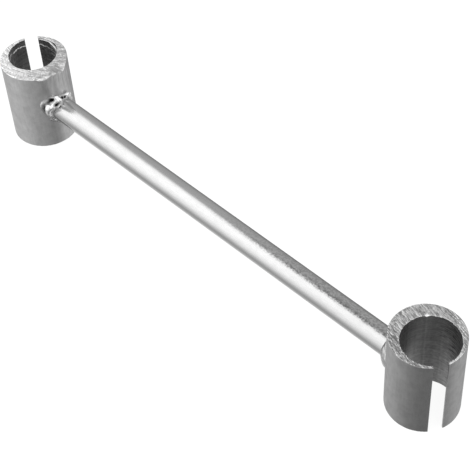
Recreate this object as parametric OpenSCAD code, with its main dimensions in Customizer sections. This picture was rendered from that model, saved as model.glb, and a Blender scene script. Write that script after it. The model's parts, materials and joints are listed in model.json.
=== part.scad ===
// Hinge adjusting wrench: two slotted, off-centre bored sockets welded to a round bar.
// Each socket slips down over a hinge barrel, with the hinge leaf standing in the slot,
// and the bar is the lever that bends the leaf.
// The origin is midway between the sockets, on the plane that they stand on.
// +X runs along the bar from the small socket to the large one, and +Z along the bores.

/* [Handle] */
// Distance between the axes of the two sockets
socket_spacing = 168; // [120:1:260]
// Diameter of the round bar
handle_d = 8; // [6:0.5:10]
// Height of the bar's axis above the plane that the sockets stand on
handle_height = 14.5; // [12:0.5:18]

/* [Sockets] */
// Height of both sockets
socket_height = 30; // [28:1:45]
// Chamfer on the outer edges of both ends
outer_edge = 0.3; // [0.1:0.05:0.6]
// Chamfer on the mouths of both bores
bore_lip = 0.3; // [0.1:0.05:0.4]

/* [Small socket] */
// Diameter of the bore, for a 15 mm hinge barrel
small_bore_d = 15.5; // [14:0.1:16]
// Thinnest wall, on the side that is slotted
small_thin_wall = 1.1; // [0.9:0.1:1.6]
// Turn of the thinnest wall away from the line of the bar, in degrees
small_bore_turn = 32; // [0:1:45]
// Turn of the slot away from the line of the bar, in degrees
small_slot_turn = 34.5; // [0:0.5:45]
// Width of the slot, for the hinge leaf
small_slot_w = 4.4; // [3:0.1:6]
// Depth to which the upper mouth is opened out
relief_depth = 2.6; // [1:0.1:5]
// How far that opened-out mouth is cut back all round
relief_cut = 0.25; // [0.1:0.05:0.4]

/* [Large socket] */
// Diameter of the bore, for a 16 mm hinge barrel
large_bore_d = 17; // [16:0.1:20]
// Thinnest wall, on the side that is slotted
large_thin_wall = 0.6; // [0.5:0.1:2]
// Thickest wall, opposite the thinnest, on the side that the bar is welded to
large_thick_wall = 4.4; // [3:0.1:8]
// Turn of the thinnest wall away from the line of the bar, in degrees
large_bore_turn = 22; // [0:1:45]
// Turn of the slot away from the line of the bar, in degrees
large_slot_turn = 30.5; // [0:0.5:45]
// Width of the slot, for the hinge leaf
large_slot_w = 4.4; // [3:0.1:6]

/* [Small weld] */
// Reach of the bead up and along the socket wall
small_weld_wall_leg = 1.6; // [1:0.1:3]
// Reach of the bead along the bar
small_weld_bar_leg = 1.3; // [0.8:0.1:3]
// Extra reach along the wall where the bead is heaped up
small_weld_heap = 2.5; // [0:0.1:3]
// Extra reach along the bar at the same place
small_weld_heap_out = 1; // [0:0.1:2]
// Where the heap is round the bar, in degrees from level, seen from the socket
small_weld_heap_at = 50; // [0:5:355]
// Lumps round the bead
small_weld_lumps = 5; // [0:1:12]
// How far a lump swells or a dip sinks the bead, as a share of its legs
small_weld_swell = 0.12; // [0:0.02:0.3]

/* [Large weld] */
// Reach of the bead up and along the socket wall
large_weld_wall_leg = 1.4; // [1:0.1:3]
// Reach of the bead along the bar
large_weld_bar_leg = 1.5; // [0.8:0.1:3]
// Extra reach along the wall where the bead is heaped up
large_weld_heap = 1.1; // [0:0.1:3]
// Extra reach along the bar at the same place
large_weld_heap_out = 0.8; // [0:0.1:2]
// Where the heap is round the bar, in degrees from level, seen from the socket
large_weld_heap_at = 165; // [0:5:355]
// Lumps round the bead
large_weld_lumps = 9; // [0:1:12]
// How far a lump swells or a dip sinks the bead, as a share of its legs
large_weld_swell = 0.04; // [0:0.02:0.3]

/* [Hidden] */
$fn = 96;

steel = "silver";
zinc = "gainsboro";
weld_metal = "darkgray";

// Both sockets are cut from one stock, and the large bore and its walls set the diameter
socket_d = large_bore_d + large_thin_wall + large_thick_wall;
socket_r = socket_d / 2;
handle_r = handle_d / 2;

// How far a cutter stands past the face that it cuts through
past = 1;
// Clearance between a bead and the metal that it is laid on
bead_seat = 0.02;
// Steps round the bar, across the wall under a bead, and from the wall to the bar in its skin
ring_steps = 60;
seat_steps = 4;
skin_steps = 7;
// Power that flattens a bead's skin: 1 is a quarter ellipse and 2 is a straight bevel
flatness = 1.3;

// Puts what is drawn about the socket's axis, with the bar arriving from -X, at the large socket
module at_large_socket() {
    translate([socket_spacing / 2, 0, 0])
        children();
}

// The small socket's place is the large one's, turned half round about the middle of the tool
module at_small_socket() {
    rotate([0, 0, 180])
        at_large_socket()
            children();
}

// Solid blank of a socket, turned with a small chamfer on both outer edges
module socket_blank() {
    rotate_extrude()
        polygon([
            [0, 0],
            [socket_r - outer_edge, 0],
            [socket_r, outer_edge],
            [socket_r, socket_height - outer_edge],
            [socket_r - outer_edge, socket_height],
            [0, socket_height]
        ]);
}

// Cutter for a bore of radius r through the whole socket, with a chamfer at both mouths
module bore_cutter(r) {
    lip = bore_lip + past;
    rotate_extrude()
        polygon([
            [0, -past],
            [r + lip, -past],
            [r, bore_lip],
            [r, socket_height - bore_lip],
            [r + lip, socket_height + past],
            [0, socket_height + past]
        ]);
}

// Cutter that opens out the upper mouth of a bore of radius r, with a bevel leading back to it
module relief_cutter(r) {
    wide_r = r + relief_cut;
    lip = bore_lip + past;
    rotate_extrude()
        polygon([
            [0, socket_height - relief_depth - relief_cut],
            [r, socket_height - relief_depth - relief_cut],
            [wide_r, socket_height - relief_depth],
            [wide_r, socket_height - bore_lip],
            [wide_r + lip, socket_height + past],
            [0, socket_height + past]
        ]);
}

// Cutter for a slot of width w from the socket's axis out through its wall
module slot_cutter(w) {
    translate([0, -w / 2, -past])
        cube([socket_r + past, w, socket_height + 2 * past]);
}

// Socket about its own axis. The bore is moved off centre until only thin_wall is left on one
// side. Children are further cutters about the bore's axis.
module socket(bore_d, thin_wall, bore_turn, slot_w, slot_turn) {
    shift = socket_r - bore_d / 2 - thin_wall;
    difference() {
        socket_blank();
        rotate([0, 0, -bore_turn])
            translate([shift, 0, 0]) {
                bore_cutter(bore_d / 2);
                children();
            }
        rotate([0, 0, -slot_turn])
            slot_cutter(slot_w);
    }
}

module small_socket() {
    color(steel)
        at_small_socket()
            socket(small_bore_d, small_thin_wall, small_bore_turn, small_slot_w, small_slot_turn)
                relief_cutter(small_bore_d / 2);
}

module large_socket() {
    color(steel)
        at_large_socket()
            socket(large_bore_d, large_thin_wall, large_bore_turn, large_slot_w, large_slot_turn);
}

// Everything inside a socket's outside diameter, to cut what bears against its wall
module socket_envelope() {
    translate([0, 0, -past])
        cylinder(h = socket_height + 2 * past, r = socket_r);
}

// Round bar from one socket's axis to the other's
module full_bar() {
    translate([-socket_spacing / 2, 0, handle_height])
        rotate([0, 90, 0])
            cylinder(h = socket_spacing, r = handle_r);
}

// The bar's ends are coped to a saddle that seats on the round wall of each socket
module handle_rod() {
    color(zinc)
        difference() {
            full_bar();
            at_small_socket()
                socket_envelope();
            at_large_socket()
                socket_envelope();
        }
}

// Distance from the socket's axis to its wall, along the bar, at the distance y to one side
function wall_at(y) = sqrt(socket_r * socket_r - y * y);

// Point of a bead at the angle a round the bar, at the distance reach from the bar's axis,
// standing rise out from the socket's wall
function bead_point(a, reach, rise) =
    [-wall_at(reach * cos(a)) - rise, reach * cos(a), reach * sin(a)];

// A leg of a bead at the angle a: its plain length, with even lumps and smaller uneven ones
function lumpy(leg, lumps, swell, a) =
    leg * (1 + swell * (sin(lumps * a) + 0.5 * sin((2 * lumps + 1) * a)));

// Share of a heap at the angle a: all of it at the heap, and none past a quarter turn from it
function heaped(a, heap_at) = pow(max(0, cos(a - heap_at)), 5);

// Section of a bead at the angle a, as pairs of reach and rise: from the bar out across the
// wall to the bead's toe, then along its skin and back to the bar
function bead_section(a, wall_leg, bar_leg, heap, heap_out, heap_at, lumps, swell) =
    let (
        bar_side = (handle_r + bead_seat) / cos(180 / ring_steps),
        toe = handle_r + lumpy(wall_leg, lumps, swell, a) + heap * heaped(a, heap_at),
        crest = lumpy(bar_leg, lumps, swell, a) + heap_out * heaped(a, heap_at)
    )
    concat(
        [for (i = [0 : seat_steps - 1])
            [bar_side + (toe - bar_side) * i / seat_steps, bead_seat]],
        [for (i = [0 : skin_steps])
            let (t = 90 * i / skin_steps)
            [bar_side + (toe - bar_side) * pow(cos(t), flatness),
             bead_seat + crest * pow(sin(t), flatness)]]
    );

// Corner j of ring i in a band of rings that closes on itself both ways
function corner(i, j, corners) = (i % ring_steps) * corners + j % corners;

// Fillet bead that follows the saddle line where the bar meets the socket's round wall.
// It is one closed skin through the sections round the bar, and it seats on both pieces.
module weld_bead(wall_leg, bar_leg, heap, heap_out, heap_at, lumps, swell) {
    corners = seat_steps + skin_steps + 1;
    points = [
        for (i = [0 : ring_steps - 1])
            let (a = 360 * i / ring_steps)
            for (p = bead_section(a, wall_leg, bar_leg, heap, heap_out, heap_at, lumps, swell))
                bead_point(a, p[0], p[1])
    ];
    faces = [
        for (i = [0 : ring_steps - 1])
            for (j = [0 : corners - 1])
                let (
                    here = corner(i, j, corners),
                    next = corner(i, j + 1, corners),
                    ahead = corner(i + 1, j, corners),
                    across = corner(i + 1, j + 1, corners)
                )
                for (f = [[here, ahead, across], [here, across, next]])
                    f
    ];
    translate([0, 0, handle_height])
        polyhedron(points = points, faces = faces, convexity = 6);
}

module small_socket_weld() {
    color(weld_metal)
        at_small_socket()
            weld_bead(small_weld_wall_leg, small_weld_bar_leg, small_weld_heap, small_weld_heap_out,
                      small_weld_heap_at, small_weld_lumps, small_weld_swell);
}

module large_socket_weld() {
    color(weld_metal)
        at_large_socket()
            weld_bead(large_weld_wall_leg, large_weld_bar_leg, large_weld_heap, large_weld_heap_out,
                      large_weld_heap_at, large_weld_lumps, large_weld_swell);
}

handle_rod();
small_socket();
large_socket();
small_socket_weld();
large_socket_weld();
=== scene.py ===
"""Looks of the hinge adjusting wrench: two sawn and bored sockets, a bright bar and two weld beads."""

import json
import math
from types import SimpleNamespace

import bmesh
import bpy
import numpy as np
from mathutils import Matrix, Vector


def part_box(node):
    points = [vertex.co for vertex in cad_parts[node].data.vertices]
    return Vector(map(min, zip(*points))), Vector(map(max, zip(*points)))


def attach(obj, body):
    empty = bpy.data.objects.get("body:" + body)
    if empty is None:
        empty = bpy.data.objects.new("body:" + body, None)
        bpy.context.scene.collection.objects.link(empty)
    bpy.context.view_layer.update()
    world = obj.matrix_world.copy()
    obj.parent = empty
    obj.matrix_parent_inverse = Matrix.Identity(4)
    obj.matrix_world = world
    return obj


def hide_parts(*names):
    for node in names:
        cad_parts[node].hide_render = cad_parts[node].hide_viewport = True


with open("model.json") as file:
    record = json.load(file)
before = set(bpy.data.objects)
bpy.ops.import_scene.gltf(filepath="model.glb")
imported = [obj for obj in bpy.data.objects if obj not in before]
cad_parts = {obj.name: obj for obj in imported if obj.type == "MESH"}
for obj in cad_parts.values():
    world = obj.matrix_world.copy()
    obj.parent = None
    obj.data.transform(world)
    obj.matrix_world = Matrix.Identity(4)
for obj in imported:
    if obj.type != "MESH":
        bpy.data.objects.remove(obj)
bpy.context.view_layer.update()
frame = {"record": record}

MM = 0.001
FULL_TURN = 2.0 * math.pi

# The camera looks at a point near the middle of the bar, from the front right and above
CAMERA_AIM = Vector((0.00987, -0.00068, 0.0145))
CAMERA_DISTANCE = 0.4232
CAMERA_AZIMUTH = math.radians(48.39)
CAMERA_ELEVATION = math.radians(48.18)
CAMERA_ROLL = math.radians(-4.183)
CAMERA_LENS = 106.865
SENSOR_WIDTH = 36.0

# Real sizes that the frame doesn't give
SLOT_W = 4.4 * MM
RELIEF_DEPTH = 2.6 * MM
RELIEF_CUT = 0.25 * MM

# Rounding of the sockets' edges
OUTER_ROUND = 0.10 * MM
LIP_ROUND = 0.14 * MM

# Steps in the sockets' skin: round the wall, up it, across an end face and round an edge
AROUND_STEPS = 560
HEIGHT_STEPS = 22
ACROSS_STEPS = 26
ROUND_STEPS = 2
# Extra heights on a wall: away from each rounded edge, and from the ledge of an opened mouth as
# shares of its cut
EDGE_HEIGHTS = np.array([0.12, 0.24, 0.36, 0.48, 0.6, 0.72, 0.84, 1.0, 1.3, 1.8]) * MM
LEDGE_HEIGHTS = np.array([-2.0, -1.15, -1.0, -0.8, 0.0, 0.25, 0.9])

# How far each zone of a socket reaches from its edge, in millimetres: the edges of the wall and
# the ends, the wide band inside the outer edge, and the bore's lip, which is whole up to LIP_FULL
EDGE_REACH = 0.6
WIDE_REACH = 2.5
LIP_FULL = 0.2
LIP_REACH = 1.0

# Uneven edges, each as the strength and the length in millimetres of its two waves
LIP_WAVES = (1.0, 0.5), (0.6, 0.2)
NICK_WAVES = (1.0, 0.45), (0.6, 0.2)
STEP_WAVES = (0.5, 1.2), (0.3, 0.4)
BORE_WAVES = (0.9, 2.3), (0.5, 0.6)

# Level of the saw's marks that is left uncut, so that all below it sinks
UNCUT = 1.4

# Sizes of the tool marks, in millimetres, or in degrees where a spread goes round the socket
FILE_NOTCH = 0.9
BURR_LENGTH = 1.1
BURR_TEETH = 0.35
BURR_SPREAD = 74.5
FLUTE_WIDTH = 0.8
FLUTE_LENGTH = 18.0
EDGE_DRAW = 0.01
RIDGE_SPREAD = 0.16
# LIP_SHADE_SPREAD is how far the painted shade below the bore's lip spreads up and down
LIP_SHADE_SPREAD = 0.22
STEP_SPREAD = 0.9
CHIP_REACH = 0.9
CHIP_DEPTH = 1.5
OPENED_FULL = 0.315
OPENED_REACH = 0.765
RINGS_SPREAD = 68.75
RINGS_FULL = 8.0
RINGS_REACH = 24.0
SPECK_SIZE = 0.6

mounts = {mount["name"]: mount for mount in frame["record"]["mounts"]}


# Noise and small helpers on whole arrays

def smooth_step(t):
    """Three times the square of t less twice its cube, which rises from 0 to 1 as t does and is
    level at both ends. It stays at 0 or 1 outside."""
    t = np.clip(t, 0.0, 1.0)
    return t * t * (3.0 - 2.0 * t)


def fade(depth, full, gone):
    """1 up to the depth full, falling smoothly to 0 at the depth gone."""
    return smooth_step((gone - depth) / (gone - full))


def bell(x, middle, spread, power=2):
    """A bell of height 1 about middle: e to the minus power of the distance from it in spreads. A
    power of 4 makes its top flatter and its sides steeper."""
    return np.exp(-(((x - middle) / spread) ** power))


def turned_from(angle, at):
    """How far the angle lies from at, from minus half a turn to plus half a turn."""
    return (angle - at + math.pi) % FULL_TURN - math.pi


def beside(angle, at, half_width):
    """1 at the angle at, falling smoothly to 0 at half_width on either side. at and half_width are
    in degrees, and angle is in radians."""
    off = turned_from(angle, math.radians(at))
    return smooth_step(1.0 - np.abs(off) / math.radians(half_width))


def value_noise(x, y, seed):
    """Smooth noise from -1 to 1: seeded random values at the corners of a unit lattice, blended
    across each square by a cubic step in x and in y. The lattice repeats every 256 squares."""
    lattice = np.random.default_rng(seed).uniform(-1.0, 1.0, (256, 256))
    column = np.floor(x).astype(int)
    row = np.floor(y).astype(int)
    across = smooth_step(x - column)
    up = smooth_step(y - row)

    def corner(i, j):
        return lattice[(row + j) % 256, (column + i) % 256]

    lower = corner(0, 0) * (1.0 - across) + corner(1, 0) * across
    upper = corner(0, 1) * (1.0 - across) + corner(1, 1) * across
    return lower * (1.0 - up) + upper * up


def line_noise(x, seed):
    """Smooth noise from -1 to 1 along one line, on the same lattice."""
    return value_noise(x, 0.0 * x, seed)


def wavy(x, waves, seed):
    """The sum of line noises along x, one for each pair of strength and length in waves. Their
    seeds follow each other."""
    return sum(
        strength * line_noise(x / length, seed + number)
        for number, (strength, length) in enumerate(waves)
    )


def strokes(x, y, turn, long, wide, seed):
    """Noise drawn out into strokes: the axes are turned by the angle turn, divided by the length
    long along the strokes and by wide across them, and slow noise shifts each row along."""
    along = (x * np.cos(turn) + y * np.sin(turn)) / long
    across = (y * np.cos(turn) - x * np.sin(turn)) / wide
    shift = 3.0 * line_noise(across * 0.37, seed + 1)
    return value_noise(along + shift, across, seed)


def steps(first, last, count):
    """Even values from first to last, with both ends."""
    return np.linspace(first, last, count + 1)


# Meshes from grids of points

# Points this close are one vertex, and an edge this short is dissolved
MERGE_WITHIN = 0.0001 * MM
LEAST_EDGE = 0.00001 * MM


def grid_faces(rows, columns):
    """Corner numbers of the quads in a grid of points numbered row by row."""
    number = np.arange(rows * columns).reshape(rows, columns)
    return np.stack(
        [number[:-1, :-1], number[1:, :-1], number[1:, 1:], number[:-1, 1:]], axis=-1
    ).reshape(-1, 4)


def skin_from_sheets(name, sheets, materials, sharp_angle=math.radians(42.0)):
    """One closed mesh from several grids whose borders meet. Points that round to the same place
    are one vertex, and all faces are turned outwards. Each sheet is its points, the number of its
    material and its marks, which are named values from 0 to 1 at each point."""
    points = np.concatenate([points.reshape(-1, 3) for points, _, _ in sheets])
    starts = np.cumsum([0] + [points.shape[0] * points.shape[1] for points, _, _ in sheets])
    quads = [grid_faces(*points.shape[:2]) + start for (points, _, _), start in zip(sheets, starts)]
    slots = np.concatenate([np.full(len(faces), slot) for faces, (_, slot, _) in zip(quads, sheets)])
    places = np.round(points / MERGE_WITHIN).astype(np.int64)
    _, first, merged = np.unique(places, axis=0, return_index=True, return_inverse=True)
    faces = merged.reshape(-1)[np.concatenate(quads)]
    mesh = bpy.data.meshes.new(name)
    mesh.from_pydata(points[first].tolist(), [], faces.tolist())
    mesh.polygons.foreach_set("material_index", slots.astype(np.int32))
    for mark in sheets[0][2]:
        values = np.concatenate([marks[mark].reshape(-1) for _, _, marks in sheets])
        layer = mesh.attributes.new(mark, "FLOAT", "POINT")
        layer.data.foreach_set("value", values[first].astype(np.float32))
    mesh.validate()
    shell = bmesh.new()
    shell.from_mesh(mesh)
    bmesh.ops.dissolve_degenerate(shell, dist=LEAST_EDGE, edges=shell.edges)
    bmesh.ops.recalc_face_normals(shell, faces=shell.faces)
    shell.to_mesh(mesh)
    shell.free()
    mesh.shade_smooth()
    mesh.set_sharp_from_angle(angle=sharp_angle)
    for material in materials:
        mesh.materials.append(material)
    piece = bpy.data.objects.new(name, mesh)
    bpy.context.scene.collection.objects.link(piece)
    return piece


# Sockets

def socket_facts(size):
    """Sizes and places of one socket, from its node's box and its bore and slot mounts."""
    low, high = (np.array(corner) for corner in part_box(f"{size}_socket"))
    centre = (low + high)[:2] / 2.0
    bore = mounts[f"{size}_bore"]
    to_slot = np.array(mounts[f"{size}_slot"]["pos_m"][:2]) - centre
    return SimpleNamespace(
        node=f"{size}_socket",
        centre=centre,
        outer_r=(high - low)[0] / 2.0,
        height=high[2] - low[2],
        bore_shift=np.array(bore["pos_m"][:2]) - centre,
        bore_r=bore["dims"]["r_mm"] * MM,
        slot_turn=math.atan2(to_slot[1], to_slot[0]),
    )


def socket_angles(facts):
    """The angles round the outer wall and round the bore, from one side of the slot to the other.
    On each circle they start and end where it meets the slot's flat side, which lies half the
    slot's width from the line through the socket's axis."""
    half = SLOT_W / 2.0
    turn = facts.slot_turn
    outer_gap = math.asin(half / facts.outer_r)
    bore_off = facts.bore_shift[1] * math.cos(turn) - facts.bore_shift[0] * math.sin(turn)
    bore_first = math.asin((half - bore_off) / facts.bore_r)
    bore_last = math.asin((-half - bore_off) / facts.bore_r)
    outer = steps(turn + outer_gap, turn + FULL_TURN - outer_gap, AROUND_STEPS)
    bore = steps(turn + bore_first, turn + FULL_TURN + bore_last, AROUND_STEPS)
    return outer, bore


def ring_points(centre, radius, angles, heights):
    """Points at each angle round centre, for each pair of radius and height."""
    radius, heights = np.broadcast_arrays(np.asarray(radius), np.asarray(heights))
    x = centre[0] + radius[:, None] * np.cos(angles)
    y = centre[1] + radius[:, None] * np.sin(angles)
    z = np.broadcast_to(heights[:, None], x.shape)
    return np.stack([x, y, z], axis=-1)


def part_round(size, first, last):
    """Inset from the side and from the face along part of a rounded edge, for angles on its arc
    from first to last, where 0 is level with the side and a quarter turn is level with the face."""
    arc = steps(first, last, ROUND_STEPS)
    return size * (1.0 - np.cos(arc)), size * (1.0 - np.sin(arc))


def side_profile(radius, sign, size, height, relief):
    """Radius and height up a wall from the middle of its lower rounded edge to the middle of its
    upper one. sign is 1 where the metal lies inside the radius and -1 where it lies outside.
    relief is a pair of depth and cut that opens out the upper mouth, or None."""
    inset, below = part_round(size, 0.0, math.pi / 4.0)
    straight = steps(size, height - size, HEIGHT_STEPS)[1:-1]
    heights = np.concatenate([straight, size + EDGE_HEIGHTS, height - size - EDGE_HEIGHTS])
    cut = np.zeros_like(heights)
    top_cut = 0.0
    if relief:
        depth, top_cut = relief
        ledge = height - depth
        heights = np.concatenate([heights, ledge + LEDGE_HEIGHTS * top_cut])
        cut = top_cut * smooth_step((heights - ledge + top_cut) / top_cut)
    order = np.argsort(heights)
    radii = np.concatenate([
        radius - sign * inset[::-1], radius + cut[order], radius + top_cut - sign * inset
    ])
    return radii, np.concatenate([below[::-1], heights[order], height - below])


def fill_profile(radii, heights, count):
    """The same profile with extra points in the middle of its widest steps, up to count points."""
    while len(heights) < count:
        at = int(np.argmax(np.diff(heights)))
        radii = np.insert(radii, at + 1, (radii[at] + radii[at + 1]) / 2.0)
        heights = np.insert(heights, at + 1, (heights[at] + heights[at + 1]) / 2.0)
    return radii, heights


def end_face(facts, angles, height, up, bore_cut):
    """Grid across one end of a socket: the outer edge's rounding, straight lines from the outer
    circle to the bore's, and the lip's rounding. up is 1 on the upper end and -1 on the lower."""
    outer_angles, bore_angles = angles
    outer_in, outer_below = part_round(OUTER_ROUND, math.pi / 4.0, math.pi / 2.0)
    lip_in, lip_below = part_round(LIP_ROUND, math.pi / 2.0, math.pi / 4.0)
    outer = ring_points(facts.centre, facts.outer_r - outer_in, outer_angles, height - up * outer_below)
    bore_centre = facts.centre + facts.bore_shift
    lip = ring_points(bore_centre, facts.bore_r + bore_cut + lip_in, bore_angles, height - up * lip_below)
    share = steps(0.0, 1.0, ACROSS_STEPS)[1:-1, None, None]
    across = outer[-1] * (1.0 - share) + lip[0] * share
    return np.concatenate([outer, across, lip])


def slot_side(bottom, top, outer, bore):
    """Flat side of the slot from its four borders, as a Coons patch: the blend between the lower
    and upper borders plus that between the outer and inner ones, less the blend of the corners."""
    across = np.linalg.norm(np.diff(top, axis=0), axis=1).cumsum()
    across = np.concatenate([[0.0], across / across[-1]])[None, :, None]
    up = np.linspace(0.0, 1.0, len(outer))[:, None, None]
    ends = bottom * (1.0 - up) + top * up
    sides = outer[:, None] * (1.0 - across) + bore[:, None] * across
    corners = (bottom[0] * (1.0 - across) + bottom[-1] * across) * (1.0 - up)
    corners = corners + (top[0] * (1.0 - across) + top[-1] * across) * up
    return ends + sides - corners


def socket_zones(facts, points):
    """Where each point lies on a socket, in millimetres and angles: its place about the socket's
    axis and about the bore's, its distance round the rim and round the lip, and its depth below
    the upper end, inside the outer wall and outside the bore. The rest say how near it is, from 0
    to 1, to each kind of edge."""
    x = (points[..., 0] - facts.centre[0]) / MM
    y = (points[..., 1] - facts.centre[1]) / MM
    z = points[..., 2] / MM
    below = facts.height / MM - z
    bore_x = x - facts.bore_shift[0] / MM
    bore_y = y - facts.bore_shift[1] / MM
    turn = np.arctan2(y, x)
    bore_turn = np.arctan2(bore_y, bore_x)
    outer_depth = np.maximum(facts.outer_r / MM - np.hypot(x, y), 0.0)
    bore_depth = np.hypot(bore_x, bore_y) - facts.bore_r / MM
    return SimpleNamespace(
        x=x, y=y, z=z, bore_x=bore_x, bore_y=bore_y,
        turn=turn,
        rim=turn * facts.outer_r / MM,
        bore_turn=bore_turn,
        lip=bore_turn * facts.bore_r / MM,
        below=below,
        outer_depth=outer_depth,
        bore_depth=bore_depth,
        top=fade(below, 0.0, EDGE_REACH),
        foot=fade(z, 0.0, EDGE_REACH),
        outer=fade(outer_depth, 0.0, EDGE_REACH),
        outer_wide=fade(outer_depth, 0.0, WIDE_REACH),
        bore=fade(bore_depth, LIP_FULL, LIP_REACH),
    )


def saw_marks(zone, cut):
    """The cut's marks on an end face, about 0 and mostly within 1 of it: long coarse strokes, short
    fine ones and an even mottle. With a swirl they follow circles about that point, and otherwise
    the angle turn. Low values are grooves."""
    across, along, turn = zone.y, zone.x, math.radians(cut.turn)
    if cut.swirl:
        from_x, from_y = zone.x - cut.swirl[0], zone.y - cut.swirl[1]
        across = np.hypot(from_x, from_y)
        along = np.arctan2(from_y, from_x) * math.hypot(*cut.swirl)
        turn = 0.0
    coarse = strokes(along, across, turn, cut.long, cut.wide, cut.seed)
    fine = strokes(along, across, turn, 0.4 * cut.long, 0.5 * cut.wide, cut.seed + 2)
    mottle = value_noise(zone.x / cut.grit, zone.y / cut.grit, cut.seed + 4)
    return 1.1 * coarse + 0.8 * fine + cut.mottle * mottle


def filed_edge(zone, cut):
    """How far the outer upper edge is filed down. Across its width a round patch drops as a
    quarter ellipse, which ends level with the wall, and a flat one nearly evenly. Down the wall
    the drop fades out."""
    drop = 0.0
    uneven = np.clip(0.7 + 0.7 * line_noise(zone.rim / FILE_NOTCH, cut.seed + 12), 0.1, 1.0)
    for at, half_width, tall, wide, flat in cut.filed:
        ragged = 0.8 + 0.2 * uneven if flat else uneven
        inward = np.clip(1.0 - zone.outer_depth / (wide * (0.4 + 0.6 * ragged)), 0.0, 1.0)
        bend = inward**1.2 if flat else 1.0 - np.sqrt(1.0 - inward**2)
        down = np.clip(1.0 - zone.below / (3.0 * tall), 0.0, 1.0)
        drop = np.maximum(drop, tall * ragged * bend * down * beside(zone.turn, at, half_width))
    return drop


def chipped_lip(zone, cut):
    """How far the bore's lip has sunk at its chips, less and less away from it."""
    near = np.clip(1.0 - np.maximum(zone.bore_depth, 0.0) / CHIP_REACH, 0.0, 1.0) ** 1.5
    down = np.clip(1.0 - zone.below / CHIP_DEPTH, 0.0, 1.0)
    return sum(
        drop * near * down * beside(zone.bore_turn, at, half_width) for at, half_width, drop in cut.chips
    )


def bore_ridges(zone, cut):
    """How far the ridges below the bore's lip stand inwards, each a bell in height."""
    return sum(
        stand * beside(zone.bore_turn, at, half_width) * bell(zone.below, below, RIDGE_SPREAD)
        for at, half_width, stand, below in cut.ridges
    )


def sinking(zone, cut):
    """How far each point sinks: the end faces under the saw's marks, the outer upper edge where it
    is filed or nicked, the lip at its chips, and the step of an opened mouth where it is tilted."""
    marks = cut.depth * np.maximum(UNCUT - saw_marks(zone, cut), 0.0)
    nicks = cut.nicks * np.maximum(wavy(zone.rim, NICK_WAVES, cut.seed + 16), 0.0)
    sunk = (zone.top - zone.foot) * marks + filed_edge(zone, cut) + chipped_lip(zone, cut)
    sunk = sunk + nicks * zone.outer**2 * zone.top**2
    lean = np.cos(zone.bore_turn - math.radians(cut.tilt_turn))
    lean = lean + wavy(zone.lip, STEP_WAVES, cut.seed + 14)
    near_step = bell(zone.below, RELIEF_DEPTH / MM, STEP_SPREAD, power=4)
    return sunk + cut.tilt * lean * near_step * zone.bore


def wall_push(zone, cut):
    """How far each point of the wall is pushed outwards: a rolled burr along part of the upper
    edge, faint flutes, and a little back all over so that the flutes stay within the wall."""
    burr = np.maximum(0.0, 0.35 + line_noise(zone.rim / BURR_LENGTH, cut.seed + 6))
    burr = burr * (0.6 + 0.4 * line_noise(zone.rim / BURR_TEETH, cut.seed + 7))
    burr = cut.burr * burr * beside(zone.turn, cut.burr_turn, BURR_SPREAD) * zone.top**3
    flutes = cut.flutes * value_noise(zone.rim / FLUTE_WIDTH, zone.z / FLUTE_LENGTH, cut.seed + 8)
    return (burr + flutes - EDGE_DRAW) * zone.outer


def lip_pull(zone, cut):
    """How far each point round the bore is pulled inwards: a ragged lip and the ridges below it,
    less where the mouth is opened out, and the narrower side of a mouth that is off centre."""
    ragged = wavy(zone.lip, LIP_WAVES, cut.seed + 9)
    pull = cut.lip * np.maximum(ragged, -0.4) * zone.top**3 + bore_ridges(zone, cut)
    opening = fade(zone.below, OPENED_FULL, OPENED_REACH)
    pull = pull - sum(
        opened * beside(zone.bore_turn, at, half_width) * opening for at, half_width, opened in cut.opened
    )
    mouth = fade(zone.below * MM, RELIEF_DEPTH, RELIEF_DEPTH + RELIEF_CUT)
    narrow_side = np.maximum(np.cos(zone.bore_turn - math.radians(cut.mouth_turn)), 0.0)
    return (pull + cut.mouth_narrow * narrow_side * mouth) * zone.bore


def shifted(points, from_x, from_y, push):
    """Points moved in plan by push millimetres away from the axis that from_x and from_y are from."""
    radius = np.hypot(from_x, from_y) + 1e-9
    out = points.copy()
    out[..., 0] += push * from_x / radius * MM
    out[..., 1] += push * from_y / radius * MM
    return out


def roughened(facts, points, cut):
    """The socket as saw, file and lathe left it. Each shift depends on a point's place alone, so
    sheets that share a border stay joined."""
    zone = socket_zones(facts, points)
    out = points.copy()
    out[..., 2] -= sinking(zone, cut) * MM
    out = shifted(out, zone.x, zone.y, wall_push(zone, cut))
    return shifted(out, zone.bore_x, zone.bore_y, -lip_pull(zone, cut))


def bored_marks(zone, cut):
    """How light the bore is, in slow bands and in streaks down it, and how much its rings show."""
    tone = wavy(zone.lip, BORE_WAVES, cut.seed + 20)
    for at, half_width, amount in cut.streaks:
        tone = tone + amount * beside(zone.bore_turn, at, half_width)
    rings = 0.4 + 0.6 * fade(zone.below, RINGS_FULL, RINGS_REACH)
    return tone, rings * beside(zone.bore_turn, cut.ringed, RINGS_SPREAD)


def sawn_marks(zone, cut):
    """How light the ends are along the saw's strokes, with painted light and shade towards some
    sides and dark specks on the filed patches, and how much of the wall is scored by the file."""
    strokes_here = saw_marks(zone, cut)
    tone = strokes_here
    # Painted light and shade: each entry darkens the end towards one side, or lightens it where its
    # amount is below 0
    for at, half_width, amount in cut.shades:
        shade = 0.5 * max(amount, 0.0) * strokes_here - amount
        tone = tone + shade * beside(zone.turn, at, half_width)
    speck = np.maximum(value_noise(zone.x / SPECK_SIZE, zone.y / SPECK_SIZE, cut.seed + 22), 0.0)
    for at, half_width, tall, _, _ in cut.filed:
        tone = tone - 1.6 * tall * speck * beside(zone.turn, at, half_width) * zone.outer_wide
    scored = sum(
        beside(zone.turn, at, half_width) * fade(zone.below, 0.0, reach)
        for at, half_width, reach in cut.filed_wall
    )
    return tone, scored


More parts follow.
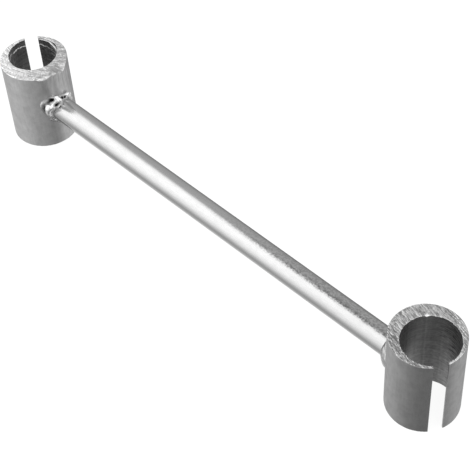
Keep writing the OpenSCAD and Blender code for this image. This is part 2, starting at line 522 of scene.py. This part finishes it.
def socket_marks(facts, points, cut, inside):
    """Marks on a socket for its finishes. wear is brightest along its edges and at its chips, where it
    is scuffing, and on its ridges, where it is a painted highlight. cut is how light the tool's marks
    are, with painted light and shade towards some sides of the ends, and scored is where the file's
    marks or the bore's rings show. pit is painted shade between the bore's lip and a ridge, and dull
    is painted shade in bands round the wall. inside is true for the bore."""
    zone = socket_zones(facts, points)
    level = 0.0 * zone.x
    edge = np.maximum(zone.outer, zone.bore) ** 2 * np.maximum(zone.top, zone.foot) ** 2
    chips = sum(
        beside(zone.bore_turn, at, half_width) * zone.bore * zone.top**2
        for at, half_width, _ in cut.chips
    )
    # Painted highlight on the bore's ridges, with scuffs along the edges and at the chips
    wear_and_sheen_sum = 0.1 * edge + 1.4 * chips + 2.2 * bore_ridges(zone, cut) * zone.bore
    # Painted shade in the bore between the lip and the ridge below it
    dirt = level + zone.bore * sum(
        beside(zone.bore_turn, at, half_width) * bell(zone.below, below, LIP_SHADE_SPREAD, power=4)
        for at, half_width, below in cut.dirty
    )
    # Painted shade: the wall is darkened in bands at some angles round it
    dull = sum(amount * beside(zone.turn, at, half_width) for at, half_width, amount in cut.dull)
    tone, scored = bored_marks(zone, cut) if inside else sawn_marks(zone, cut)
    marks = {"wear": wear_and_sheen_sum, "cut": 0.5 + 0.5 * tone, "scored": scored + level, "pit": dirt, "dull": dull}
    return {name: np.clip(mark, 0.0, 1.0) for name, mark in marks.items()}


def make_socket(facts, cut, relief, materials):
    """A socket's skin as six sheets that meet at their borders: outer wall, bore, upper end,
    lower end and the two flat sides of the slot."""
    angles = socket_angles(facts)
    outer_r, outer_z = side_profile(facts.outer_r, 1.0, OUTER_ROUND, facts.height, None)
    bore_r, bore_z = side_profile(facts.bore_r, -1.0, LIP_ROUND, facts.height, relief)
    count = max(len(outer_z), len(bore_z))
    outer_r, outer_z = fill_profile(outer_r, outer_z, count)
    bore_r, bore_z = fill_profile(bore_r, bore_z, count)
    wall = ring_points(facts.centre, outer_r, angles[0], outer_z)
    bore = ring_points(facts.centre + facts.bore_shift, bore_r, angles[1], bore_z)
    top = end_face(facts, angles, facts.height, 1.0, relief[1] if relief else 0.0)
    foot = end_face(facts, angles, 0.0, -1.0, 0.0)
    sides = [slot_side(foot[:, end], top[:, end], wall[:, end], bore[:, end]) for end in (0, -1)]
    wall_slot, end_slot, bore_slot, side_slot = range(4)
    sheets = [(wall, wall_slot), (bore, bore_slot), (top, end_slot), (foot, end_slot)]
    sheets += [(side, side_slot) for side in sides]
    sheets = [
        (roughened(facts, sheet, cut), slot, socket_marks(facts, sheet, cut, slot == bore_slot))
        for sheet, slot in sheets
    ]
    return skin_from_sheets(facts.node + "_metal", sheets, materials)


# Bar

BAR_AROUND = 120
BAR_ALONG = 420
CAP_STEPS = 8

# Largest share by which the radius shrinks at a dent, a dent's length in millimetres, and how
# many lie round the bar
DENT_SHRINK = 0.0022
DENT_LENGTH = 9.0
DENTS_ROUND = 8.0
DENT_SEED = 41

# Angle round the bar at which the grimy specks along its upper back end, the turn they fade over,
# and where they are thickest, in a band that paints a dark reflection just above the highlight.
# They start at a share of the way along the bar and grow over another.
GRIME_REFLECTION_LAST = math.radians(118.0)
GRIME_REFLECTION_FADE = math.radians(12.0)
GRIME_REFLECTION_THICKEST = math.radians(104.0)
GRIME_REFLECTION_START = 0.40
GRIME_REFLECTION_GROWTH = 0.40


def bar_facts():
    """Radius and axis height of the bar, from its node's box."""
    low, high = (np.array(corner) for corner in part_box("handle_rod"))
    return SimpleNamespace(radius=(high - low)[1] / 2.0, height=(low + high)[2] / 2.0)


def bar_grime_and_dark_reflection(around, share):
    """Where the dark specks lie on the bar: 1 along its upper back and 0 round the rest, thicker in a
    band beside the end of it, and more and more towards the large socket. They are partly grimy
    specks and partly painted dark reflection, whose thick band lies just above the highlight."""
    grime_and_dark_reflection = smooth_step((GRIME_REFLECTION_LAST - around) / GRIME_REFLECTION_FADE) * smooth_step(around / GRIME_REFLECTION_FADE)
    grime_and_dark_reflection = np.maximum(grime_and_dark_reflection, smooth_step(around - FULL_TURN + GRIME_REFLECTION_FADE))
    band = 0.5 + 0.5 * bell(around, GRIME_REFLECTION_THICKEST, GRIME_REFLECTION_FADE)
    return grime_and_dark_reflection * band * smooth_step((share - GRIME_REFLECTION_START) / GRIME_REFLECTION_GROWTH)


def make_bar(bar, small, large, material):
    """The bar as a tube of rings round X. Each line along it runs from one socket's round wall to
    the other's, so both ends are saddles, and a fan of rings closes each. Slow noise keeps the
    radius from being quite even."""
    around = steps(0.0, FULL_TURN, BAR_AROUND)
    share = steps(0.0, 1.0, BAR_ALONG)[:, None]

    def ring(radius, at):
        y = radius * np.cos(around)
        first = small.centre[0] + np.sqrt(small.outer_r**2 - y**2)
        last = large.centre[0] - np.sqrt(large.outer_r**2 - y**2)
        x = first + (last - first) * at
        y = np.broadcast_to(y, x.shape)
        z = np.broadcast_to(bar.height + radius * np.sin(around), x.shape)
        return np.stack([x, y, z], axis=-1)

    tube = ring(bar.radius, share)
    x = tube[..., 0] / MM
    lap = np.broadcast_to(around / FULL_TURN, x.shape)
    dent = value_noise(x / DENT_LENGTH, lap * DENTS_ROUND % DENTS_ROUND, DENT_SEED)
    dent = dent * np.sin(math.pi * lap) ** 2
    shrink = 1.0 - DENT_SHRINK * (0.5 + 0.5 * dent)
    tube[..., 1] *= shrink
    tube[..., 2] = bar.height + (tube[..., 2] - bar.height) * shrink
    # Dark specks along the upper back, partly grimy and partly a painted dark reflection above the
    # highlight
    sheets = [(tube, 0, {"grime_and_dark_reflection": bar_grime_and_dark_reflection(around, share)})]
    for at, end in ((0.0, 0), (1.0, -1)):
        inner_rings = [
            ring(bar.radius * inner, np.full((1, 1), at)) for inner in steps(1.0, 0.0, CAP_STEPS)[1:]
        ]
        cap = np.concatenate([tube[end][None]] + inner_rings)
        sheets.append((cap, 0, {"grime_and_dark_reflection": np.zeros(cap.shape[:2])}))
    return skin_from_sheets("handle_rod_metal", sheets, [material])


# Weld beads

BEAD_AROUND = 420
BEAD_SKIN = 54
BEAD_SEAT = 6
# Share of the bar's radius that a bead's back lies at, just inside the bar
BEAD_BACK = 0.995
# Lowest rise of a bead's skin from the wall, in millimetres, just inside it
BEAD_LOWEST = -0.05
# Share of the way across the skin over which its bulges fade in at each toe
BEAD_TOE = 0.2
# Bulge and hollow, in millimetres, at which the painted highlight on a bead is full and its painted shade
# is quite black
SHEEN_BULGE = 0.6
FULL_SHADE_PIT = 0.8
BEAD_SHARP_ANGLE = math.radians(70.0)


def spot(angle, share, at_angle, at_share, angle_size, share_size):
    """A round bump of height 1 at a place on a bead, which fades as a bell both ways."""
    return bell(turned_from(angle, at_angle), 0.0, angle_size) * bell(share, at_share, share_size)


def runs_at(angle, runs):
    """Extra reach at each angle from runs of metal, each a power of the cosine to its middle."""
    return sum(
        reach * np.maximum(0.0, np.cos(angle - math.radians(at))) ** tight for at, reach, tight in runs
    )


def bead_bulges(angle, part, spots):
    """Height of the lumps and depth of the pits over a bead's skin, from its list of spots."""
    lumps = np.zeros(np.broadcast(angle, part).shape)
    pits = np.zeros_like(lumps)
    for at, share, height, angle_size, share_size in spots:
        bump = spot(angle, part, math.radians(at), share, math.radians(angle_size), share_size)
        lumps = lumps + max(height, 0.0) * bump
        pits = pits - min(height, 0.0) * bump
    return lumps, pits


def make_bead(facts, bar, bead, material):
    """A fillet that follows the saddle line where the bar meets the socket's round wall. Round the
    bar it has a toe on the wall and one on the bar; between them its skin bulges as a power of a
    quarter ellipse, raised by lumps and cut by pits. Its back lies on the wall and the bar."""
    angle = steps(0.0, FULL_TURN, BEAD_AROUND)[None, :]
    part = steps(0.0, 1.0, BEAD_SKIN)[:, None]
    arc = part * math.pi / 2.0
    bar_r = bar.radius / MM
    lumpy = sum(size * np.sin(waves * angle + phase) for waves, size, phase in bead.waves)
    toe = bar_r + bead.wall_leg * (1.0 + lumpy) + runs_at(angle, bead.wall_runs)
    crest = bead.bar_leg * (1.0 + 0.8 * lumpy) + runs_at(angle, bead.bar_runs)
    lumps, pits = bead_bulges(angle, part, bead.spots)
    ripple = value_noise(
        np.cos(angle) * bead.ripple_pitch + part * 1.7,
        np.sin(angle) * bead.ripple_pitch + part * 3.1, bead.seed,
    )
    scales = np.sin(bead.scale_waves * angle + 3.0 * part + 2.0 * ripple)
    off_bar = np.minimum(1.0, (1.0 - part) / BEAD_TOE)
    window = np.minimum(1.0, part / BEAD_TOE) * off_bar
    bulge = (lumps - pits + bead.ripple * ripple + bead.scale_size * scales) * window
    back = bar_r * BEAD_BACK
    reach = bar_r + (toe - bar_r) * np.cos(arc) ** bead.flatness + bulge * np.cos(arc)
    rise = crest * np.sin(arc) ** bead.flatness + bulge * np.sin(arc)
    reach = np.maximum(reach, back)
    rise = np.maximum(rise, BEAD_LOWEST)
    seat = steps(0.0, 1.0, BEAD_SEAT)[1:, None]
    under = np.full_like(reach[:1], back)
    seat_reach = under + (reach[:1] - under) * seat
    hidden = np.zeros_like(np.concatenate([under, seat_reach]))
    reach = np.concatenate([reach, under, seat_reach]) * MM
    rise = np.concatenate([rise, hidden + np.minimum(rise[:1], 0.0)]) * MM
    y = reach * np.cos(angle)
    z = bar.height + reach * np.sin(angle)
    side = -np.sign(facts.centre[0])
    x = facts.centre[0] + side * (np.sqrt(facts.outer_r**2 - y**2) + rise)
    # The bead's marks paint a highlight on the tops of its lumps and black shade in its pits
    marks = {
        "wear": np.concatenate([np.clip(lumps * window / SHEEN_BULGE, 0.0, 1.0), hidden]),
        "pit": np.concatenate([np.clip(pits * off_bar / FULL_SHADE_PIT, 0.0, 1.0), hidden]),
    }
    sheets = [(np.stack([x, y, z], axis=-1), 0, marks)]
    return skin_from_sheets(facts.node + "_weld_bead", sheets, [material], BEAD_SHARP_ANGLE)


# Nodes

def add(tree, kind, inputs=None, **settings):
    """A new node of that kind. A value in inputs is set on the socket, and a socket is linked."""
    made = tree.nodes.new(kind)
    for name, value in settings.items():
        setattr(made, name, value)
    for key, value in (inputs or {}).items():
        if isinstance(value, bpy.types.NodeSocket):
            tree.links.new(value, made.inputs[key])
        else:
            made.inputs[key].default_value = value
    return made


def math_node(tree, operation, first, second=0.0, clamp=False):
    """The result of one sum on two values or sockets."""
    made = add(tree, "ShaderNodeMath", {0: first, 1: second}, operation=operation, use_clamp=clamp)
    return made.outputs[0]


def mix_colour(tree, share, first, second):
    """The blend of two colours or sockets by share."""
    made = add(tree, "ShaderNodeMix", {0: share, 6: first, 7: second}, data_type="RGBA")
    return made.outputs[2]


def grey(level):
    """A neutral grey of that linear level."""
    return (level, level, level, 1.0)


def attribute(tree, name):
    """The value of a mark on the mesh."""
    return add(tree, "ShaderNodeAttribute", attribute_name=name).outputs["Fac"]


def new_group(name, inputs, output):
    """An empty shader group with its named inputs, as (name, kind, value), and one value output.
    Returns the tree, the values given to it and the socket that its result goes to."""
    tree = bpy.data.node_groups.new(name, "ShaderNodeTree")
    for label, kind, value in inputs:
        tree.interface.new_socket(label, in_out="INPUT", socket_type=kind).default_value = value
    tree.interface.new_socket(output, in_out="OUTPUT", socket_type="NodeSocketFloat")
    given = tree.nodes.new("NodeGroupInput").outputs
    return tree, given, tree.nodes.new("NodeGroupOutput").inputs[output]


def grain_group():
    """Noise on the piece's own coordinates, stretched by a vector, from 0 to 1 about a half."""
    inputs = [
        ("Stretch", "NodeSocketVector", (1000.0, 1000.0, 1000.0)),
        ("Seed", "NodeSocketFloat", 0.0),
        ("Contrast", "NodeSocketFloat", 1.0),
    ]
    tree, given, result = new_group("drawn_grain", inputs, "Value")
    place = add(tree, "ShaderNodeTexCoord").outputs["Object"]
    stretched = add(tree, "ShaderNodeVectorMath", {0: place, 1: given["Stretch"]}, operation="MULTIPLY")
    noise_inputs = {
        "Vector": stretched.outputs[0], "W": given["Seed"], "Scale": 1.0, "Detail": 3.0, "Roughness": 0.6,
    }
    noise = add(tree, "ShaderNodeTexNoise", noise_inputs, noise_dimensions="4D")
    centred = math_node(tree, "SUBTRACT", noise.outputs[0], 0.5)
    scaled = math_node(tree, "MULTIPLY", centred, given["Contrast"])
    tree.links.new(math_node(tree, "ADD", scaled, 0.5, clamp=True), result)
    return tree


def wear_and_sheen_group():
    """Share of bright metal, the mesh's wear: scuffs and painted highlights, broken up by fine noise."""
    inputs = [("Amount", "NodeSocketFloat", 1.0), ("Breakup", "NodeSocketFloat", 900.0)]
    tree, given, result = new_group("wear_and_sheen_edges", inputs, "Mask")
    place = add(tree, "ShaderNodeTexCoord").outputs["Object"]
    noise = add(tree, "ShaderNodeTexNoise", {"Vector": place, "Scale": given["Breakup"], "Detail": 2.0})
    doubled = math_node(tree, "MULTIPLY", noise.outputs[0], 2.0)
    broken = math_node(tree, "MULTIPLY", attribute(tree, "wear"), doubled)
    tree.links.new(math_node(tree, "MULTIPLY", broken, given["Amount"], clamp=True), result)
    return tree


GRAIN = grain_group()
WEAR_AND_SHEEN_GROUP = wear_and_sheen_group()


def grain(tree, stretch, seed=0.0, contrast=1.0):
    """Value of the grain group with that stretch, in waves a metre along each axis."""
    inputs = {"Stretch": stretch, "Seed": seed, "Contrast": contrast}
    return add(tree, "ShaderNodeGroup", inputs, node_tree=GRAIN).outputs["Value"]


def wear_and_sheen_mask(tree, amount, breakup=900.0):
    """Mask of the rubbed edges group."""
    inputs = {"Amount": amount, "Breakup": breakup}
    return add(tree, "ShaderNodeGroup", inputs, node_tree=WEAR_AND_SHEEN_GROUP).outputs["Mask"]


# Stretches of the fine specks that are in every finish, and of the bar's grimy dark specks, which partly
# paint a dark reflection
SPECK_STRETCH = (2600.0, 2600.0, 2600.0)
GRIME_REFLECTION_STRETCH = (1300.0, 1700.0, 1700.0)
# Linear greys of the grimy dark specks, which partly paint a dark reflection, and of the painted black
# shade in a hollow, and how much rougher a hollow is
GRIME_REFLECTION_GREY = 0.03
PIT_SHADE_GREY = 0.015
PIT_ROUGHER = 0.4
# How much lighter scuffed metal and painted highlights are, up to a limit, and the height of a speck
# against the lines'
WEAR_AND_SHEEN_LIGHTER = 1.35
WEAR_AND_SHEEN_LIMIT = 0.95
SPECK_HEIGHT = 0.35


def metal(name, dark, light, lines, blotch, rough, relief, edge=0.0, share=0.62, cut=0.0, scored=None,
          grime_reflection_specks=0.0, wall_shaded=False, pit_shaded=False):
    """A plated steel finish. Its grey runs from dark to light along the lines of the tool that
    made it and in slow blotches, of which share is the lines' part; roughness and relief follow
    the same lines, and scuffed edges and painted highlights are brighter. lines is a dict for
    grain(), rough is (lowest, highest) and relief is in millimetres. cut is the part that the
    mesh's strokes have in it. scored is the strength and stretch of the marks where the mesh is
    scored, and grimed is the strength of the dark specks, which are partly grimy and partly a
    painted dark reflection. With dulled, the mesh's dull bands of painted shade are darker, and
    with pitted its pits are painted black as shade."""
    material = bpy.data.materials.new(name)
    material.use_nodes = True
    tree = material.node_tree
    shader = tree.nodes["Principled BSDF"]
    drawn = grain(tree, **lines)
    cloud = grain(tree, (blotch, blotch, blotch), seed=3.0, contrast=1.7)
    speck = grain(tree, SPECK_STRETCH, seed=7.0, contrast=1.4)
    tone = math_node(tree, "ADD", math_node(tree, "MULTIPLY", drawn, share),
                     math_node(tree, "MULTIPLY", cloud, 1.0 - share))
    if cut:
        tone = math_node(tree, "ADD", math_node(tree, "MULTIPLY", attribute(tree, "cut"), cut),
                         math_node(tree, "MULTIPLY", tone, 1.0 - cut))
    if scored:
        strength, stretch = scored
        scores = grain(tree, stretch, seed=5.0, contrast=4.0)
        scores = math_node(tree, "MULTIPLY", math_node(tree, "SUBTRACT", scores, 0.5), strength)
        scores = math_node(tree, "MULTIPLY", scores, attribute(tree, "scored"))
        tone = math_node(tree, "ADD", tone, scores, clamp=True)
    colour = mix_colour(tree, tone, grey(dark), grey(light))
    # Scuffed edges and painted highlights are brighter
    if edge:
        bright = grey(min(WEAR_AND_SHEEN_LIMIT, light * WEAR_AND_SHEEN_LIGHTER))
        colour = mix_colour(tree, wear_and_sheen_mask(tree, edge), colour, bright)
    low, high = rough
    roughness = math_node(tree, "MULTIPLY", math_node(tree, "SUBTRACT", 1.0, tone), high - low)
    roughness = math_node(tree, "ADD", roughness, low)
    # Painted shade: the mesh's dull bands darken the colour
    if wall_shaded:
        colour = mix_colour(tree, attribute(tree, "dull"), colour, grey(0.0))
    # Dark grimy specks on the bar, which partly paint a dark reflection above the highlight
    if grime_reflection_specks:
        specks = math_node(tree, "MULTIPLY", grain(tree, GRIME_REFLECTION_STRETCH, seed=9.0, contrast=7.0), grime_reflection_specks)
        grime_and_dark_reflection = math_node(tree, "MULTIPLY", specks, attribute(tree, "grime_and_dark_reflection"))
        colour = mix_colour(tree, grime_and_dark_reflection, colour, grey(GRIME_REFLECTION_GREY))
    # Painted shade: the mesh's pit mark paints hollows black and makes them rougher
    if pit_shaded:
        pit = attribute(tree, "pit")
        colour = mix_colour(tree, pit, colour, grey(PIT_SHADE_GREY))
        rougher = math_node(tree, "MULTIPLY", pit, PIT_ROUGHER)
        roughness = math_node(tree, "ADD", roughness, rougher, clamp=True)
    tree.links.new(colour, shader.inputs["Base Color"])
    tree.links.new(roughness, shader.inputs["Roughness"])
    shader.inputs["Metallic"].default_value = 1.0
    height = math_node(tree, "ADD", tone, math_node(tree, "MULTIPLY", speck, SPECK_HEIGHT))
    bump = add(tree, "ShaderNodeBump", {"Height": height, "Distance": relief * MM, "Strength": 1.0})
    tree.links.new(bump.outputs[0], shader.inputs["Normal"])
    return material


def socket_finishes(size, tones, cut):
    """The four finishes of one socket, in the order of its sheets' numbers. tones holds the
    darkest and lightest grey of its outer wall, its sawn ends and its bore, and cut is the part
    that the saw's strokes have in the tone of the ends."""
    wall = metal(
        f"{size}_wall_steel", *tones.wall, lines=dict(stretch=(1500.0, 1500.0, 240.0), contrast=1.7),
        blotch=330.0, rough=(0.34, 0.46), relief=0.014, edge=0.6, share=0.35,
        scored=(0.7, (1500.0, 1500.0, 90.0)), wall_shaded=True,
    )
    end = metal(
        f"{size}_sawn_steel", *tones.end, lines=dict(stretch=(1400.0, 1400.0, 1400.0), contrast=1.6),
        blotch=500.0, rough=(0.28, 0.46), relief=0.012, edge=1.0, cut=cut,
    )
    bored = metal(
        f"{size}_bored_steel", *tones.bore, lines=dict(stretch=(120.0, 120.0, 1700.0), contrast=2.6),
        blotch=1100.0, rough=(0.34, 0.5), relief=0.03, edge=1.0, share=0.45, cut=0.26,
        scored=(0.8, (280.0, 280.0, 1700.0)), pit_shaded=True,
    )
    slotted = metal(
        f"{size}_slotted_steel", 0.36, 0.56, lines=dict(stretch=(1500.0, 1500.0, 120.0), contrast=1.5),
        blotch=160.0, rough=(0.34, 0.5), relief=0.015,
    )
    return [wall, end, bored, slotted]


# Stage

# Each lamp of the light tent: where it stands as seen from the tool, and its strength
PANEL_LIGHTS = {
    "top_left": ((-0.64, 0.00, 0.77), 0.98),
    "top": ((-0.45, -0.45, 0.77), 1.00),
    "front_left": ((-0.57, -0.78, 0.26), 1.30),
}
SOFT_LIGHTS = {
    "top_back": ((-0.50, 0.40, 0.77), 0.58),
    "top_right": ((0.55, 0.15, 0.82), 1.44),
    "front_right": ((0.82, -0.50, 0.25), 1.30),
    "top_front": ((0.33, -0.60, 0.72), 0.60),
    "front": ((-0.15, -0.97, -0.10), 0.30),
    "back": ((-0.50, 0.86, 0.10), 0.45),
    "back_right": ((0.33, 0.90, 0.25), 0.70),
    "table_back": ((0.29, 0.50, -0.82), 0.66),
    "table_left": ((-0.57, 0.00, -0.82), 0.78),
    "table_front_left": ((-0.35, -0.75, -0.55), 0.22),
    "table_front": ((0.00, -0.94, -0.34), 0.32),
    "table_front_right": ((0.66, -0.66, -0.34), 0.24),
    "table_back_right": ((0.66, 0.66, -0.34), 0.25),
    "table_right": ((0.94, 0.00, -0.34), 0.22),
}
LAMP_TIGHTNESS = 6.0
ROOM_LIGHT = 0.02
# The panel's lamps end at a plane square to this direction, a little beyond the tool, and fade
# across it
PANEL_EDGE = Vector((0.634, 0.634, 0.444))
PANEL_SHIFT = 0.15
PANEL_FADE = 0.16

# Half of the table's side in metres, its linear grey, and the light that it gives off by itself
TABLE_HALF = 3.0
TABLE_GREY = 0.14
TABLE_GLOW = 0.92


def soft_studio():
    """A room of soft light: an even glow plus one glow for each lamp, whose strength is a power of
    the cosine between it and the direction looked in. The big panel's lamps end at its edge. The
    camera sees plain white."""
    world = bpy.data.worlds.new("soft_studio")
    bpy.context.scene.world = world
    world.use_nodes = True
    tree = world.node_tree
    tree.nodes.clear()
    direction = add(tree, "ShaderNodeTexCoord").outputs["Generated"]

    def toward(point):
        made = add(tree, "ShaderNodeVectorMath", {0: direction, 1: point}, operation="DOT_PRODUCT")
        return made.outputs["Value"]

    def lamps(given):
        total = 0.0
        for place, strength in given.values():
            facing = math_node(tree, "MAXIMUM", toward(Vector(place).normalized()), 0.0)
            glow = math_node(tree, "POWER", facing, LAMP_TIGHTNESS)
            total = math_node(tree, "ADD", math_node(tree, "MULTIPLY", glow, strength), total)
        return total

    past = math_node(tree, "SUBTRACT", toward(PANEL_EDGE), PANEL_SHIFT)
    inside = math_node(tree, "SUBTRACT", 0.5, math_node(tree, "DIVIDE", past, PANEL_FADE), clamp=True)
    panel = math_node(tree, "MULTIPLY", lamps(PANEL_LIGHTS), inside)
    total = math_node(tree, "ADD", math_node(tree, "ADD", panel, lamps(SOFT_LIGHTS)), ROOM_LIGHT)
    light = add(tree, "ShaderNodeBackground", {"Color": grey(1.0), "Strength": total})
    seen = add(tree, "ShaderNodeBackground", {"Color": grey(1.0), "Strength": 1.0})
    ray = add(tree, "ShaderNodeLightPath").outputs["Is Camera Ray"]
    mixed = add(tree, "ShaderNodeMixShader", {0: ray, 1: light.outputs[0], 2: seen.outputs[0]})
    add(tree, "ShaderNodeOutputWorld", {"Surface": mixed.outputs[0]})


def make_floor():
    """A pale table that glows almost white, with just enough matt surface for a faint shadow."""
    half = TABLE_HALF
    corners = [(-half, -half, 0), (half, -half, 0), (half, half, 0), (-half, half, 0)]
    mesh = bpy.data.meshes.new("floor")
    mesh.from_pydata(corners, [], [(0, 1, 2, 3)])
    floor = bpy.data.objects.new("floor", mesh)
    bpy.context.scene.collection.objects.link(floor)
    material = bpy.data.materials.new("pale_table")
    material.use_nodes = True
    shader = material.node_tree.nodes["Principled BSDF"]
    shader.inputs["Base Color"].default_value = grey(TABLE_GREY)
    shader.inputs["Roughness"].default_value = 1.0
    shader.inputs["Specular IOR Level"].default_value = 0.0
    shader.inputs["Emission Color"].default_value = grey(1.0)
    shader.inputs["Emission Strength"].default_value = TABLE_GLOW
    mesh.materials.append(material)
    floor.visible_glossy = False


def make_camera():
    """The camera on a sphere about its aim, rolled a little about its line of sight."""
    level = math.cos(CAMERA_ELEVATION)
    away = Vector((
        level * math.sin(CAMERA_AZIMUTH), -level * math.cos(CAMERA_AZIMUTH), math.sin(CAMERA_ELEVATION)
    ))
    camera = bpy.data.objects.new("camera", bpy.data.cameras.new("camera"))
    bpy.context.scene.collection.objects.link(camera)
    turn = away.to_track_quat("Z", "Y").to_matrix() @ Matrix.Rotation(CAMERA_ROLL, 3, "Z")
    camera.matrix_world = Matrix.Translation(CAMERA_AIM + away * CAMERA_DISTANCE) @ turn.to_4x4()
    camera.data.lens = CAMERA_LENS
    camera.data.sensor_width = SENSOR_WIDTH
    bpy.context.scene.camera = camera


make_camera()
soft_studio()
make_floor()
bpy.context.scene.view_settings.view_transform = "Standard"

# Finishes

small_tones = SimpleNamespace(wall=(0.45, 0.79), end=(0.30, 1.00), bore=(0.12, 0.66))
large_tones = SimpleNamespace(wall=(0.28, 0.50), end=(0.16, 0.87), bore=(0.13, 0.52))
small_finishes = socket_finishes("small", small_tones, cut=0.6)
large_finishes = socket_finishes("large", large_tones, cut=0.85)
bar_zinc = metal(
    "bar_zinc", 0.47, 0.54, lines=dict(stretch=(400.0, 1500.0, 1500.0), contrast=2.2),
    blotch=420.0, rough=(0.15, 0.22), relief=0.010, share=0.6, grime_reflection_specks=0.60,
)
bright_weld = metal(
    "bright_weld", 0.42, 0.76, lines=dict(stretch=(900.0, 900.0, 900.0), contrast=1.6),
    blotch=500.0, rough=(0.12, 0.30), relief=0.02, edge=1.4, pit_shaded=True,
)
dull_weld = metal(
    "dull_weld", 0.40, 0.60, lines=dict(stretch=(900.0, 900.0, 300.0), contrast=1.6),
    blotch=500.0, rough=(0.2, 0.36), relief=0.02, edge=0.5, pit_shaded=True,
)

# Tool marks on each socket. Angles are degrees round the socket from +X, or round the bore for
# what is on it, and sizes are millimetres. Each entry of a list starts with the angle of its
# middle and its half-width.
# Saw: turn is the way that its strokes run, or swirl the point that they circle, long, wide and
#   depth their size, grit and mottle the size and strength of the mottle between them, and shades
#   how much painted shade darkens the end there, or, where the amount is below 0, how much
#   painted light brightens it.
# Wall: burr and burr_turn are the size and place of the rolled burr, flutes the depth of the
#   flutes, nicks that of the nicks in the edge, filed the drop and width of each patch filed off
#   the upper edge and whether it is flat, filed_wall how far down file marks reach below it, and
#   dull how much painted shade darkens the wall in a band there.
# Bore: lip is how far its lip is ragged, chips how far it sinks at a chip, ridges how far a ridge
#   stands in and how far it lies below the end, opened how far the mouth is opened out there,
#   dirty how far below the end the painted shade between the lip and a ridge lies, streaks how much
#   lighter the bore is, ringed where its rings show, tilt and tilt_turn how far the step leans and
#   where it is lowest, and mouth_narrow and mouth_turn how much narrower the mouth is on one side.
small_cut = SimpleNamespace(
    seed=11,
    turn=0, swirl=(-7.8, 15.8), long=2.4, wide=0.36, depth=0.045, grit=0.40, mottle=0.7,
    shades=[(50, 90, 0.80), (-120, 110, -0.50)],
    burr=0.02, burr_turn=-75, flutes=0.012, nicks=0.05,
    filed=[(-15, 34, 1.5, 1.8, False), (17, 22, 2.2, 2.6, True), (57, 10, 1.0, 0.8, False)],
    filed_wall=[(-2, 55, 9.0), (36, 47, 20.0)],
    dull=[(-20, 23, 0.28), (16, 24, 0.09)],
    lip=0.10, chips=[],
    ridges=[(115, 40, 0.34, 0.56), (78, 40, 0.40, 0.80)],
    opened=[(76, 30, 0.44)], dirty=[(76, 30, 0.36)],
    streaks=[], ringed=75,
    tilt=0.6, tilt_turn=60, mouth_narrow=0.12, mouth_turn=45,
)
large_cut = SimpleNamespace(
    seed=23,
    turn=-14, swirl=None, long=1.6, wide=0.28, depth=0.040, grit=0.30, mottle=0.55,
    shades=[(-90, 90, 0.85), (-8, 28, -1.1)],
    burr=0.14, burr_turn=-110, flutes=0.008, nicks=0.07,
    filed=[(-6, 30, 0.30, 0.50, False)],
    filed_wall=[(-6, 39, 3.5)],
    dull=[(-60, 34, 0.06)],
    lip=0.14, chips=[(137, 6, 0.36)],
    ridges=[], opened=[], dirty=[],
    streaks=[(137.4, 3, 1.4), (164, 4, 0.9), (-178, 28, -0.6)], ringed=75,
    tilt=0.0, tilt_turn=0, mouth_narrow=0.0, mouth_turn=0,
)

# Metal of each bead, in millimetres and degrees round the bar: the legs, the waves in them as
# their number, size and phase, the runs as their middle, reach and tightness, the ripples and
# scales on the skin, and the spots as their angle, their share of the way from wall to bar, their
# height, or depth where it is below 0, and their size both ways
small_bead = SimpleNamespace(
    seed=5, wall_leg=1.5, bar_leg=1.3, flatness=1.0, ripple=0.14, ripple_pitch=4.0,
    scale_waves=26, scale_size=0.05,
    waves=[(3, 0.06, 0.4), (5, 0.05, 2.0)],
    wall_runs=[(134.0, 2.6, 5)],
    bar_runs=[(118.0, 1.1, 3)],
    spots=[
        (172.0, 0.60, 0.80, 13.0, 0.16),
        (156.0, 0.62, 1.00, 12.0, 0.16),
        (141.0, 0.66, 1.00, 10.0, 0.17),
        (163.0, 0.30, -0.80, 14.0, 0.08),
        (146.0, 0.30, -0.45, 15.0, 0.12),
        (125.0, 0.04, -0.45, 12.0, 0.10),
        (129.0, 0.36, -0.60, 8.0, 0.16),
        (119.0, 0.26, -1.20, 6.0, 0.15),
        (122.0, 0.86, -1.80, 7.0, 0.11),
        (104.0, 0.28, 1.00, 7.0, 0.20),
        (101.0, 0.64, 1.00, 7.0, 0.22),
        (86.0, 0.48, -1.40, 5.0, 0.13),
        (72.0, 0.58, -1.40, 5.0, 0.13),
        (61.0, 0.40, 1.10, 7.0, 0.28),
        (47.0, 0.45, 1.20, 9.0, 0.30),
        (20.0, 0.45, 0.40, 12.0, 0.30),
    ],
)
large_bead = SimpleNamespace(
    seed=8, wall_leg=1.4, bar_leg=1.5, flatness=1.1, ripple=0.10, ripple_pitch=3.0,
    scale_waves=22, scale_size=0.03,
    waves=[(4, 0.05, 0.0), (9, 0.03, 1.0)],
    wall_runs=[(178.0, 1.0, 4)],
    bar_runs=[(162.0, 0.9, 4)],
    spots=[(168.0, 0.55, 0.30, 22.0, 0.2), (176.0, 0.93, -0.15, 24.0, 0.05)],
)

# Pieces

small = socket_facts("small")
large = socket_facts("large")
bar = bar_facts()
pieces = {
    "small_socket": make_socket(small, small_cut, (RELIEF_DEPTH, RELIEF_CUT), small_finishes),
    "large_socket": make_socket(large, large_cut, None, large_finishes),
    "handle_rod": make_bar(bar, small, large, bar_zinc),
    "small_socket_weld": make_bead(small, bar, small_bead, bright_weld),
    "large_socket_weld": make_bead(large, bar, large_bead, dull_weld),
}
for node_name, piece in pieces.items():
    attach(piece, "root")
    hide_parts(node_name)
